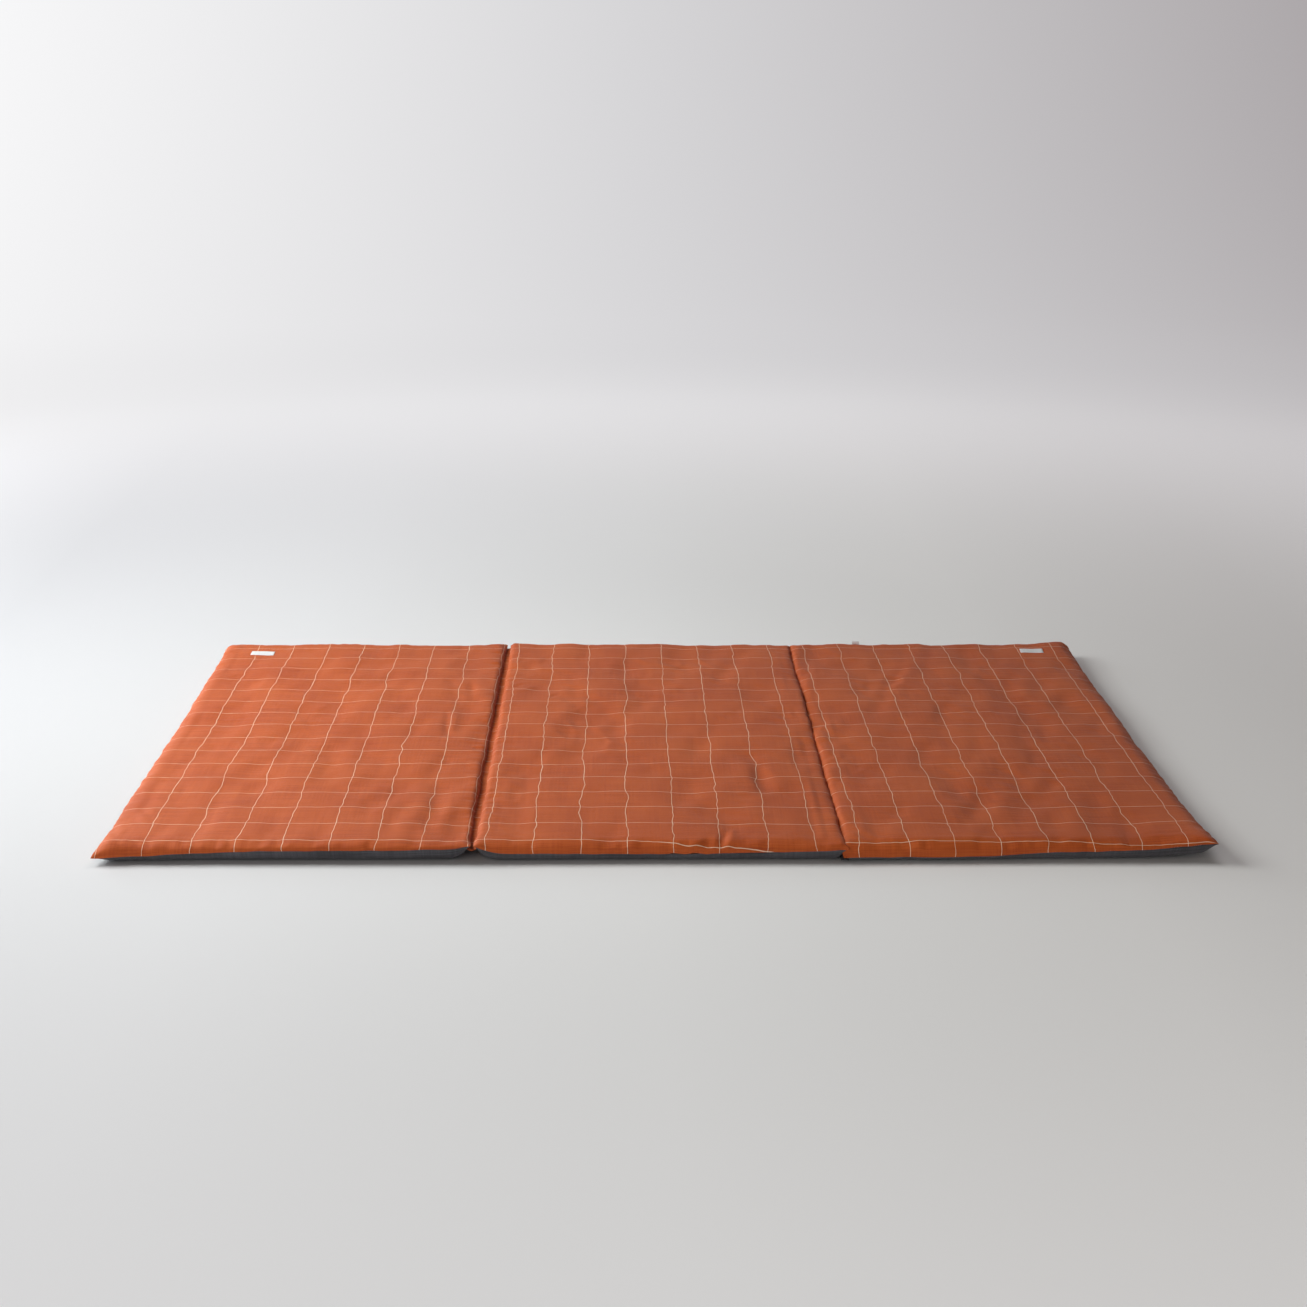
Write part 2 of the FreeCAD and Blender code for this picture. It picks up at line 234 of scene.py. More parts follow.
def check_cotton():
    """Yarn-dyed cotton sheeting, washed: matt, with a faint bloom where it is seen edge on."""
    return finish("terracotta_check_cotton", 0.66, check_tone, weave, 0.00022,
                  {"Sheen Weight": 0.07, "Sheen Roughness": 0.4, "Specular IOR Level": 0.3})


def charcoal_cotton():
    """Piece-dyed cotton twill: matt charcoal with paler lint along the threads."""
    return finish("charcoal_cotton", 0.9, lambda tree: thread_tone(tree, "#3a393d", "#4a494e", "#5c5b61"), weave,
                  0.00022, {"Sheen Weight": 0.15, "Sheen Roughness": 0.5, "Specular IOR Level": 0.25})


def case_cotton():
    """Unbleached calico: flecked cream, matt."""
    return finish("unbleached_calico", 0.92, lambda tree: thread_tone(tree, "#d8c9a8", "#e4d8bd", "#efe6d2"), weave,
                  0.0002, {"Sheen Weight": 0.1, "Specular IOR Level": 0.2})


def fibre_tone(tree, dark, light, size):
    """Tangled fibres, paler where they lie loose."""
    place = add(tree, "TexCoord")
    tangle = add(tree, "TexNoise", {"Vector": place.outputs["Object"], "Scale": 1 / size, "Detail": 6.0,
                                    "Roughness": 0.7, "Distortion": 0.8})
    return tones(tree, tangle, ((0.35, dark), (0.65, light)))


def tangle_relief(tree, size):
    place = add(tree, "TexCoord")
    return add(tree, "TexNoise", {"Vector": place.outputs["Object"], "Scale": 1 / size, "Detail": 5.0,
                                  "Roughness": 0.7, "Distortion": 1.2})


def cotton_wadding():
    """Carded cotton batt: off-white, fluffy, with seed flecks."""
    return finish("carded_cotton_wadding", 0.98, lambda tree: fibre_tone(tree, "#cfc6b2", "#efeadd", 0.006),
                  lambda tree: tangle_relief(tree, 0.004), 0.0012, {"Sheen Weight": 0.3, "Specular IOR Level": 0.1})


def pressed_fibre():
    """Heat-pressed polyester fibre board: dense, greyer than the wadding, with a flat felted face."""
    return finish("pressed_fibre_board", 0.95, lambda tree: fibre_tone(tree, "#a9a59b", "#c9c5ba", 0.003),
                  lambda tree: tangle_relief(tree, 0.002), 0.0005, {"Specular IOR Level": 0.15})


def zip_tape():
    """Woven polyester zip tape: near black, with fine ribs along its length."""
    def ribs(tree):
        place = add(tree, "TexCoord")
        return add(tree, "TexWave", {"Vector": place.outputs["Object"], "Scale": 220.0, "Distortion": 0.4},
                   bands_direction="Z")
    return finish("woven_zip_tape", 0.85, lambda tree: fibre_tone(tree, "#232326", "#313136", 0.0012), ribs, 0.0002,
                  {"Sheen Weight": 0.1})


def zip_coil():
    """Nylon monofilament: near black and satin smooth."""
    return finish("nylon_zip_coil", 0.38, lambda tree: fibre_tone(tree, "#1f1f22", "#28282c", 0.004),
                  sockets={"IOR": 1.53})


def zip_metal():
    """Zinc die casting under baked black lacquer, worn grey where fingers and cloth rub it."""
    def worn(tree):
        rub = add(tree, "NewGeometry")
        wear = add(tree, "MapRange", {"Value": rub.outputs["Pointiness"], "From Min": 0.52, "From Max": 0.62})
        return add(tree, "MixRGB", {"Fac": wear, "Color1": paint("#2c2c30"), "Color2": paint("#77767a")})
    return finish("lacquered_zinc", 0.36, worn, lambda tree: tangle_relief(tree, 0.0012), 0.00004,
                  {"Coat Weight": 0.3})


def label_ribbon():
    """Polyester satin ribbon: cool white with a soft gleam."""
    return finish("satin_label_ribbon", 0.5, lambda tree: thread_tone(tree, "#d9dce2", "#e6e8ed", "#f0f2f6"), weave,
                  0.0001, {"Sheen Weight": 0.1})


def floor_place(tree):
    """Where a point of the floor lies, and how far that is from the middle, in metres."""
    place = add(tree, "TexCoord")
    split = add(tree, "SeparateXYZ", {"Vector": place.outputs["Object"]})
    flat = add(tree, "CombineXYZ", {"X": split.outputs["X"], "Y": split.outputs["Y"]})
    return split.outputs, add(tree, "VectorMath", {0: flat}, operation="LENGTH").outputs["Value"]


def floor_tone(tree):
    """The paint's colour round the mattress, with painted shade: darkest on the left, where the key light is strongest,
    and paler to the right, so the light's falloff across the floor is evened out. It fades out to black where the far
    cove's painted glow takes over.
    """
    along, radius = floor_place(tree)
    fade = add(tree, "MapRange", {"Value": radius, "From Min": 1.6, "From Max": 6.0},
               interpolation_type="SMOOTHSTEP")
    # Painted shade: the floor is made darker where the key light is strong and paler where it is weak.
    ground = side_to_side(tree, along["X"], 1.6, ("#a6a8ae", "#c7c9ce", "#dadcdf", "#e1e2e3", "#d2d1d1"))
    return add(tree, "MixRGB", {"Fac": fade, "Color1": ground, "Color2": (0, 0, 0, 1)})


UNDER_X, UNDER_Y, SHADE_EDGE = 0.965, 0.64, 0.035  # m, the mattress's footprint, where the floor's glow is cut away as a painted contact shadow, and the soft edge of that painted shadow


def painted_floor():
    """Matt white studio paint with a painted glow of its own: the floor and far cove give off painted light, brighter
    on the left, and the glow is cut away under the mattress as painted shade.
    """
    material = finish("matt_studio_paint_with_painted_glow", 0.92, floor_tone, sockets={"Specular IOR Level": 0.15})
    tree = material.node_tree
    shader = next(n for n in tree.nodes if n.type == "BSDF_PRINCIPLED")
    along, radius = floor_place(tree)
    # Painted light: the floor glows of itself, faintly near the mattress and at full strength farther out and on the
    # cove.
    painted_glow = add(tree, "MapRange", {"Value": radius, "From Min": 0.9, "From Max": 4.6, "To Min": 0.2, "To Max": 1.0},
               interpolation_type="SMOOTHSTEP")
    # Painted shade: the floor's glow fades to nothing under the mattress, as a soft painted contact shadow.
    beyond = [
        calc(tree, "SUBTRACT", calc(tree, "ABSOLUTE", along[axis]), half)
        for axis, half in (("X", UNDER_X), ("Y", UNDER_Y))
    ]
    shade = add(tree, "MapRange", {"Value": calc(tree, "MAXIMUM", *beyond), "From Min": 0.0, "From Max": SHADE_EDGE},
                interpolation_type="SMOOTHSTEP")
    strength = calc(tree, "MULTIPLY", painted_glow, shade)
    # Painted light: the glow is white on the left and greys towards the right.
    painted_wash = side_to_side(tree, along["X"], 4.5, ("#fbfbfc", "#d6d5d7", "#aaa5a7"))
    tree.links.new(painted_wash.outputs[0], shader.inputs["Emission Color"])
    tree.links.new(strength.outputs[0], shader.inputs["Emission Strength"])
    return material


def side_to_side(tree, across, half, codes):
    """Colours at even steps from left to right across the floor."""
    place = add(tree, "MapRange", {"Value": across, "From Min": -half, "From Max": half})
    return tones(tree, place, [(number / (len(codes) - 1), code) for number, code in enumerate(codes)])


# ---------------------------------------------------------------- what the pads are like

TOP_LEVEL, FLOOR_LEVEL, CASE_TOP, FOLD_PLANE = 37.6, 0.7, 32.0, 39.9  # mm
CELL = 81.6  # mm, the size of a check
SHRUNK_SEAM = 2.0  # mm, how far the tight seam thread draws the edge in and out

# For each side of a pad, points along it from -1 to 1: how far the seam lies outside the pad's plain
# rectangle, and its height, in mm. The corner tips ("ears") are given as x, y outward and height. "first_line" and
# "line_step" place the front-to-back lines of the check, "drift" is how far its other lines wander at the front edge,
# and "lift" is how far the stiff filling holds a corner up, and over what radius.
PADS = {
    "left": {
        "front": (
            (-1, 0, 15.5), (-0.8, 0, 15.5), (-0.5, -2, 20.5), (-0.1, -1, 24.5), (0.5, 0, 25.5), (0.85, 0, 27.5),
            (1, 0, 31),
        ),
        "rear": ((-1, 0, 17), (0, -1, 17), (0.91, 0, 17), (1, 0, 29)),
        "west": ((-1, 0, 17), (-0.8, -1, 17), (0, -4, 16), (0.8, -1, 17), (1, 0, 17)),
        "east": ((-1, -2, 31), (-0.9, -2.5, 29), (0, -2.5, 29), (0.9, -2.5, 29), (1, -1, 29)),
        "ears": {"front_west": (8, 6, 14), "rear_west": (9, 4, 16), "front_east": (2, 1, 34), "rear_east": (1, 0, 31)},
        "first_line": -244.5,
        "line_step": 80.4,
        "drift": ((-1, 0), (1, 2)),
        "lift": {},
    },
    "middle": {
        "front": (
            (-1, 0, 24), (-0.94, 0, 20.5), (-0.8, 0, 19.5), (0, -2, 18), (0.4, -1, 19.5), (0.75, 0, 22.5), (1, 0, 25),
        ),
        "rear": ((-1, 0, 29), (-0.91, 0, 17), (0, -1, 17), (0.91, 0, 17), (1, 0, 15)),
        "west": ((-1, -2, 31), (-0.9, -4.5, 29), (0, -4.5, 29), (0.9, -4.5, 29), (1, -2, 29)),
        "east": ((-1, 0, 14), (-0.9, 0, 9), (0, 0, 8), (1, 0, 9)),
        "ears": {"front_west": (2, 1, 34), "rear_west": (1, 0, 31), "front_east": (6, 3, 27), "rear_east": (1, 1, 14)},
        "first_line": -301.0,
        "line_step": 82.0,
        "drift": ((-1, 0), (-0.4, 3), (-0.1, 12), (0.2, 28), (1, 42)),
        "lift": {},
    },
    "right": {
        "front": (
            (-1, 0, 12.5), (-0.5, 0, 12), (-0.3, -1, 13), (0.2, -2, 20.5), (0.6, -1, 23.5), (0.85, 0, 27), (1, 0, 33),
        ),
        "rear": ((-1, 0, 15), (-0.91, 0, 17), (0, -1, 17), (0.91, 0, 17), (1, 0, 17)),
        "west": ((-1, 0, 10), (-0.9, 0, 8), (0, 0, 8), (1, 0, 9)),
        "east": ((-1, 0, 30), (-0.85, -1, 22), (-0.6, -2, 18), (0, -4, 16.5), (0.8, -1, 17), (1, 0, 17)),
        "ears": {"front_west": (3, 3, 12), "rear_west": (1, 1, 14), "front_east": (5, 6, 37), "rear_east": (8, 4, 16)},
        "first_line": -296.5,
        "line_step": 81.7,
        "drift": ((-1, 14), (-0.4, 9), (0.2, 16), (0.6, 26), (1, 32)),
        "lift": {"front_east": (9, 95), "rear_east": (6, 100)},
    },
}
OPEN_EDGE, HIGH_JOINT, LOW_JOINT = "open edge", "high joint", "low joint"
SIDES_OF = {
    "left": {"west": OPEN_EDGE, "east": HIGH_JOINT},
    "middle": {"west": HIGH_JOINT, "east": LOW_JOINT},
    "right": {"west": LOW_JOINT, "east": OPEN_EDGE},
}
# How the cloth leaves the seam: its slope in degrees there, how long it keeps that slope, and its length in mm
# to where it lies flat, for the upper and the lower cover.
SHOULDERS = {
    "upper": {OPEN_EDGE: (80, 1.7, 34), HIGH_JOINT: (56, 1.0, 18), LOW_JOINT: (98, 5.0, 35)},
    "lower": {OPEN_EDGE: (62, 1.1, 32), HIGH_JOINT: (66, 1.1, 54), LOW_JOINT: (60, 1.0, 16)},
}


def eased(points, place, column):
    """A smooth curve through given points, read at many places at once."""
    known = np.array([p[0] for p in points], float)
    values = np.array([p[column] for p in points], float)
    slots = np.clip(np.searchsorted(known, place) - 1, 0, len(known) - 2)
    share = np.clip((place - known[slots]) / (known[slots + 1] - known[slots]), 0, 1)
    share = share * share * (3 - 2 * share)
    return values[slots] + (values[slots + 1] - values[slots]) * share


def shoulder_curve(slope, hold, length):
    """Inset and height, in mm, against the length of cloth from the seam."""
    arc = np.linspace(0, 1, 200)
    angle = math.radians(slope) * (1 - arc**hold)
    inset = np.concatenate(([0], np.cumsum(np.cos(angle[:-1]) + np.cos(angle[1:])) / 2)) / 199 * length
    height = np.concatenate(([0], np.cumsum(np.sin(angle[:-1]) + np.sin(angle[1:])) / 2)) / 199
    return arc * length, inset, height / height[-1]


def waves(x, y, scale, seed):
    """Smooth noise from -1 to 1 over places in mm."""
    flat = [noise.noise(Vector((float(a) / scale, float(b) / scale, seed))) for a, b in zip(x.ravel(), y.ravel())]
    return np.array(flat).reshape(x.shape)


ZIP_END, ZIP_OPENING = 290.5, 4.8  # mm, half the length and half the height of the slot for the zip
ALL_BUT_REAR = 600  # mm back from the middle: the rear edge past it stays straight beside the zip


class Cut:
    """The flat piece of cloth for one half of a pad's cover, and where each of its points lies at first.

    A plain cut has no puckers and no slot: it is the outline of what lies inside."""

    def __init__(self, pad, half, step, inset=0.0, plain=False):
        low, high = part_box(f"{pad}_top_cover")
        self.pad, self.half, self.plain = pad, half, plain
        self.centre = 1000 * (low.x + high.x) / 2
        self.wide = 1000 * (high.x - low.x) / 2 - inset
        self.deep = 1000 * (high.y - low.y) / 2 - inset
        kinds = {"front": OPEN_EDGE, "rear": OPEN_EDGE, **SIDES_OF[pad]}
        self.curves = {side: shoulder_curve(*SHOULDERS[half][kind]) for side, kind in kinds.items()}
        spare = {side: curve[0][-1] - curve[1][-1] for side, curve in self.curves.items()}
        self.west, self.east = self.wide + spare["west"], self.wide + spare["east"]
        self.front, self.rear = self.deep + spare["front"], self.deep + spare["rear"]
        columns, rows = round(2 * self.wide / step), round(2 * self.deep / step)
        self.u, self.v = np.meshgrid(
            np.linspace(-self.west, self.east, columns + 1), np.linspace(-self.front, self.rear, rows + 1)
        )
        self.flat = ((self.west + self.east) * MM, (self.front + self.rear) * MM)
        self.place()

    def place(self):
        u, v, shape = self.u, self.v, PADS[self.pad]
        seed = SEEDS[self.pad]
        from_seam = {"west": u + self.west, "east": self.east - u, "front": v + self.front, "rear": self.rear - v}
        insets, heights = {}, {}
        for side, (arc, inset, height) in self.curves.items():
            distance = from_seam[side]
            beyond = distance - arc[-1] + inset[-1]
            insets[side] = np.where(distance < arc[-1], np.interp(distance, arc, inset), beyond)
            heights[side] = np.interp(distance, arc, height)
        x = np.where(u < 0, insets["west"] - self.wide, self.wide - insets["east"])
        y = np.where(v < 0, insets["front"] - self.deep, self.deep - insets["rear"])
        rise = heights["west"] * heights["east"] * heights["front"] * heights["rear"]

        along = {"front": x / self.wide, "rear": x / self.wide, "west": y / self.deep, "east": y / self.deep}
        outs = {side: eased(shape[side], place, 1) for side, place in along.items()}
        levels = {side: eased(shape[side], place, 2) for side, place in along.items()}
        inward = {"west": x + self.wide, "east": self.wide - x, "front": y + self.deep, "rear": self.deep - y}
        inward = {side: np.maximum(distance, 0) for side, distance in inward.items()}
        weights = {side: 1 / (inward[side] + 0.5) ** 2 for side in along}
        for corner, (out_x, out_y, level) in shape["ears"].items():
            end, side = corner.split("_")
            gap = np.hypot(inward[side], inward[end])
            near = np.exp(-((gap / 24) ** 1.15))
            # mm, how far from the tip an ear's height is felt
            spread = 60 if corner in shape["lift"] else 22 if end == "front" else 13
            reach = np.exp(-((gap / spread) ** 1.3))
            outs[side] = outs[side] + out_x * near
            outs[end] = outs[end] + out_y * near
            for edge in (side, end):
                levels[edge] = levels[edge] + (level - levels[edge]) * reach
        if not self.plain:
            part = np.clip((ZIP_END + 9 - np.abs(x)) / 12, 0, 1)
            opened = ZIP_OPENING * part * part * (3 - 2 * part)
            levels["rear"] = levels["rear"] + (opened if self.half == "upper" else -opened)
        seam = sum(weights[s] * levels[s] for s in along) / sum(weights.values())
        if not self.plain:
            nearest = np.minimum.reduce([inward[s] for s in along])
            seam = seam + 0.8 * waves(x + self.centre, y, 34, seed) * (y < ALL_BUT_REAR)
            faded = {side: outs[side] * np.exp(-inward[side] / 45) for side in along}
            x, y = x + faded["east"] - faded["west"], y + faded["rear"] - faded["front"]
            tug = SHRUNK_SEAM * np.exp(-nearest / 18)
            sideways = (inward["west"] < 45) | (inward["east"] < 45)
            slow = np.exp(-nearest / 40)
            x = x + (tug * waves(y, x * 0.2, 24, seed + 20) + 2.6 * slow * waves(y, x * 0.1, 85, seed + 23)) * sideways
            y = y + tug * waves(x + self.centre, y * 0.2, 24, seed + 40) * (y < ALL_BUT_REAR)
        self.seam, self.rise, self.from_seam = seam, rise, from_seam
        self.x, self.y = x, y
        self.lifted = lift(self.pad, x, y, self.wide, self.deep)
        self.points = self.surface(TOP_LEVEL if self.half == "upper" else FLOOR_LEVEL)

    def surface(self, level):
        """The points of a surface that leaves the seam and comes to lie at a level."""
        z = self.seam + (level - self.seam + self.lifted) * self.rise
        return np.stack((self.x + self.centre, self.y, z), -1)


def lift(pad, x, y, wide, deep):
    """How far the stiff filling holds the corners of the pad up, in mm."""
    raised = np.zeros_like(x)
    for corner, (height, radius) in PADS[pad]["lift"].items():
        end, side = corner.split("_")
        gap = np.hypot(x - (wide if side == "east" else -wide), y - (deep if end == "rear" else -deep))
        raised = raised + height * np.exp(-((gap / radius) ** 2))
    return raised


# ---------------------------------------------------------------- meshes


def mesh_piece(name, points, faces):
    """A smooth mesh from points in mm."""
    mesh = bpy.data.meshes.new(name)
    mesh.from_pydata((np.asarray(points, float).reshape(-1, 3) * MM).tolist(), [], [list(map(int, f)) for f in faces])
    mesh.shade_smooth()
    piece = bpy.data.objects.new(name, mesh)
    scene.collection.objects.link(piece)
    return piece


def grid_faces(index, flip=False):
    """Quads over a grid of point numbers."""
    quads = np.stack((index[:-1, :-1], index[:-1, 1:], index[1:, 1:], index[1:, :-1]), -1).reshape(-1, 4)
    return (quads[:, ::-1] if flip else quads).tolist()


def grid_piece(name, points, flip=False):
    rows, columns = points.shape[:2]
    return mesh_piece(name, points, grid_faces(np.arange(rows * columns).reshape(rows, columns), flip))


def slab_piece(name, upper, lower, welded=True):
    """A closed mesh between two grids with the same outline."""
    rows, columns = upper.shape[:2]
    index = np.arange(rows * columns).reshape(rows, columns)
    below = index + rows * columns
    points = np.concatenate((upper.reshape(-1, 3), lower.reshape(-1, 3)))
    rim = [*index[0, :], *index[1:, -1], *index[-1, -2::-1], *index[-2:0:-1, 0]]
    faces = grid_faces(index)
    if welded:
        below[[0, -1], :] = index[[0, -1], :]
        below[:, [0, -1]] = index[:, [0, -1]]
    else:
        faces += [(b, a, a + rows * columns, b + rows * columns) for a, b in zip(rim, rim[1:] + rim[:1])]
    faces += grid_faces(below, flip=True)
    used = np.unique(np.array([p for f in faces for p in f]))
    renumbered = np.zeros(len(points), int)
    renumbered[used] = np.arange(len(used))
    return mesh_piece(name, points[used], renumbered[np.array(faces)])


def tube_piece(name, paths, radius, sides=6, taper=False):
    """Round threads or wires along lists of points in mm, in one mesh."""
    points, faces = [], []
    for path in paths:
        path = np.asarray(path, float)
        ahead = np.gradient(path, axis=0)
        ahead /= np.linalg.norm(ahead, axis=1, keepdims=True)
        guide = np.where(np.abs(ahead[:, 2:3]) > 0.9, (1.0, 0.0, 0.0), (0.0, 0.0, 1.0))
        across = np.cross(ahead, guide)
        across /= np.linalg.norm(across, axis=1, keepdims=True)
        above = np.cross(across, ahead)
        turns = np.linspace(0, 2 * math.pi, sides, endpoint=False)
        thick = radius * (np.sin(np.linspace(0.15, math.pi - 0.15, len(path))) ** 0.5 if taper else np.ones(len(path)))
        ring = across[:, None] * np.cos(turns)[None, :, None] + above[:, None] * np.sin(turns)[None, :, None]
        base = sum(len(p) for p in points)
        points.append((path[:, None] + ring * thick[:, None, None]).reshape(-1, 3))
        index = base + np.arange(len(path) * sides).reshape(len(path), sides)
        closed = np.concatenate((index, index[:, :1]), axis=1)
        faces += grid_faces(closed, flip=True)
        faces += [list(index[0]), list(index[-1][::-1])]
    return mesh_piece(name, np.concatenate(points), faces)


def store(piece, name, values):
    """Keeps a pair of numbers on each point of the mesh, for the material."""
    layer = piece.data.attributes.new(name, "FLOAT_VECTOR", "POINT")
    full = np.zeros((len(piece.data.vertices), 3), np.float32)
    full[:, :2] = np.asarray(values).reshape(-1, 2)
    layer.data.foreach_set("vector", full.ravel())


def smoother(piece):
    finer = piece.modifiers.new("finer", "SUBSURF")
    finer.levels = finer.render_levels = 1


def thicken(piece, thickness):
    """Gives the cloth its thickness in mm, half to each side."""
    cloth = piece.modifiers.new("cloth_thickness", "SOLIDIFY")
    cloth.thickness, cloth.offset = thickness * MM, 0.0


def put_on(piece, body, slot, material, *stands_for):
    """The piece moves with its body, hides the CAD nodes it stands in for, and has its material."""
    piece.data.materials.append(material)
    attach(piece, body)
    if stands_for:
        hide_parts(*stands_for)


# ---------------------------------------------------------------- covers


def held_group(piece, name, weights):
    group = piece.vertex_groups.new(name=name)
    for index, weight in enumerate(weights.ravel()):
        if weight > 0.001:
            group.add([index], float(weight), "REPLACE")


def loose_cloth(piece, cut, collection):
    """Makes the cover's cloth a little larger than the form below it, most of all along the seam."""
    nearest = np.minimum.reduce(list(cut.from_seam.values()))
    held_group(piece, "seam", (nearest < 0.01) * 1.0)
    held_group(piece, "fullness", 0.25 + 0.75 * np.exp(-nearest / 45))
    modifier = piece.modifiers.new("falling", "CLOTH")
    cloth = modifier.settings
    cloth.quality, cloth.mass, cloth.air_damping = 5, 0.12, 3
    cloth.tension_stiffness = cloth.compression_stiffness = 30
    cloth.shear_stiffness, cloth.bending_stiffness = 10, 0.06
    cloth.vertex_group_mass = "seam"
    cloth.vertex_group_shrink = "fullness"
    cloth.shrink_min, cloth.shrink_max = -0.002, -0.022
    modifier.collision_settings.use_self_collision = False
    modifier.collision_settings.distance_min = 0.001
    modifier.collision_settings.collision_quality = 2
    modifier.collision_settings.collection = collection


FRAMES = 22
FARTHEST = 6.0  # mm, the cap on how far a point may move


def settle(cuts):
    """Lets the cloth of every pad fall onto its filling at once, then takes the result as its shape."""
    scenery = []
    for cut in cuts:
        below = cut.points.copy()
        below[..., 2] -= 1.6
        form = grid_piece(f"{cut.pad}_form", below[::2, ::2])
        box = bpy.data.collections.new(form.name)
        scene.collection.children.link(box)
        scene.collection.objects.unlink(form)
        box.objects.link(form)
        form.modifiers.new("filling", "COLLISION")
        form.collision.thickness_outer = 0.0008
        form.collision.cloth_friction = 25
        cloth = grid_piece(f"{cut.pad}_loose_cloth", cut.points)
        loose_cloth(cloth, cut, box)
        scenery.append((cut, cloth, form, box))
    for number in range(1, FRAMES + 1):
        scene.frame_set(number)
    shapes = bpy.context.evaluated_depsgraph_get()
    fallen = {}
    for cut, cloth, form, box in scenery:
        mesh = cloth.evaluated_get(shapes).to_mesh()
        points = np.empty(len(mesh.vertices) * 3)
        mesh.vertices.foreach_get("co", points)
        moved = points.reshape(cut.points.shape) / MM - cut.points
        far = np.linalg.norm(moved, axis=-1, keepdims=True)
        fallen[cut.pad] = moved * np.minimum(1, FARTHEST / np.maximum(far, 1e-6))
    scene.frame_set(1)
    for cut, cloth, form, box in scenery:
        for item in (cloth, form):
            mesh = item.data
            bpy.data.objects.remove(item)
            bpy.data.meshes.remove(mesh)
        bpy.data.collections.remove(box)
    return fallen


def carried_over(moved, rough, fine):
    """The movement of a rough cut's points, read off at a finer cut's points."""
    rows = np.array([[np.interp(fine.u[0], rough.u[0], line[:, axis]) for axis in range(3)] for line in moved])
    columns = [[np.interp(fine.v[:, 0], rough.v[:, 0], rows[:, axis, i]) for axis in range(3)]
               for i in range(fine.u.shape[1])]
    return np.moveaxis(np.array(columns), (0, 1, 2), (1, 2, 0))


FOLD_STRENGTH = 1.7  # times the folds' heights below
# Soft folds that lie in the top of each pad: start x, y, end x, y, half width and height, in mm.
FOLDS = {
    "left": (
        (221, 125, 239, -54, 6, -2.0), (236, 130, 252, -50, 11, 1.5), (276, 373, 297, 199, 13, 1.8),
        (258, 360, 280, 180, 11, -1.3), (228, -392, 192, -643, 20, 1.8), (252, -318, 240, -560, 16, -1.5),
        (282, -380, 262, -600, 15, 1.4), (150, 60, 140, -200, 22, 1.1), (60, -60, 40, -300, 24, 1.0),
        (180, 420, 200, 220, 20, 1.0),
    ),
    "middle": (
        (-315, 265, -274, 317, 5, -1.6), (-302, 245, -250, 300, 7, 1.4), (-220, 214, -200, 250, 5, -1.5),
        (162, -166, 179, -398, 18, 1.7), (190, -150, 203, -400, 14, -1.5), (218, -166, 232, -387, 16, 1.5),
        (-213, -122, -227, -231, 13, -1.4), (121, -581, 104, -664, 6, -2.4), (134, -570, 121, -664, 7, 2.0),
        (73, -600, 60, -680, 6, 1.7), (90, -590, 80, -680, 6, -1.5), (40, -610, 25, -680, 6, 1.4),
        (-106, -232, -123, -375, 17, 1.2), (-225, -402, -230, -660, 17, 1.2), (10, 300, 0, 60, 24, 1.0),
    ),
    "right": (
        (249, -143, 234, -378, 15, 1.2), (-79, 456, -147, 264, 17, -1.4), (-60, 440, -130, 250, 16, 1.4),
        (244, 497, 264, 263, 14, 1.0), (40, 60, 50, -220, 24, 0.9), (120, -200, 140, -420, 22, 0.9),
    ),
}


def folded(cut):
    """Adds the long rolls, the pad's own folds and the small puckers along the seams to the cover's top."""
    u, v, seed = cut.u, cut.v, SEEDS[cut.pad]
    flat = np.clip(cut.rise * 1.3 - 0.3, 0, 1)
    z = 4.6 * waves(u + 0.12 * v, v / 3.2, 88, seed + 51) + 2.8 * waves(u - 0.2 * v, v / 2.6, 46, seed + 57)
    patchy = np.clip(0.5 + 1.4 * waves(u, v, 210, seed + 61), 0.15, 1.3)
    z = z + 1.5 * patchy * waves(u + 0.3 * v, v / 1.8, 22, seed + 59)
    crease = np.clip(1 - 5.5 * np.abs(waves(u + 0.25 * v, v / 2.0, 62, seed + 65)), 0, 1) ** 1.5
    z = z + 1.5 * patchy * crease * np.clip(0.5 + 2 * waves(u, v, 90, seed + 67), 0, 1)
    z = z * flat
    for x0, y0, x1, y1, width, height in FOLDS[cut.pad]:
        length = math.hypot(x1 - x0, y1 - y0)
        step_x, step_y = (x1 - x0) / length, (y1 - y0) / length
        travelled = ((u - x0) * step_x + (v - y0) * step_y) / length
        beside = (v - y0) * step_x - (u - x0) * step_y + 5 * waves(u, v, 60, seed + 63)
        ends = np.clip(1 - (2 * travelled - 1) ** 2, 0, 1) ** 0.8
        z = z + FOLD_STRENGTH * height * ends * np.exp(-((beside / width) ** 2))
    for side, place, size in (("front", u, 2.6), ("rear", u, 1.8), ("west", v, 2.4), ("east", v, 3.0)):
        near = np.exp(-((np.abs(cut.from_seam[side] - 16) / 20) ** 1.5)) * np.clip(cut.from_seam[side] / 6, 0, 1)
        pinch = waves(place, cut.from_seam[side] / 4, 15, seed + 71)
        pinch = pinch + 0.6 * waves(place, cut.from_seam[side] / 3, 8, seed + 77)
        z = z + size * near * pinch
    lowest = cut.seam + (CASE_TOP + 1.0 - cut.seam + cut.lifted) * cut.rise
    highest = FOLD_PLANE + cut.lifted
    level = cut.points[..., 2] + z
    level = np.where(level < lowest + 1.5, lowest + 1.5 * np.exp((level - lowest - 1.5) / 1.5), level)
    level = np.where(level > highest - 2, highest - 2 * np.exp((highest - 2 - level) / 2), level)
    cut.points[..., 2] = np.where(cut.rise > 0.02, level, cut.points[..., 2] + z)


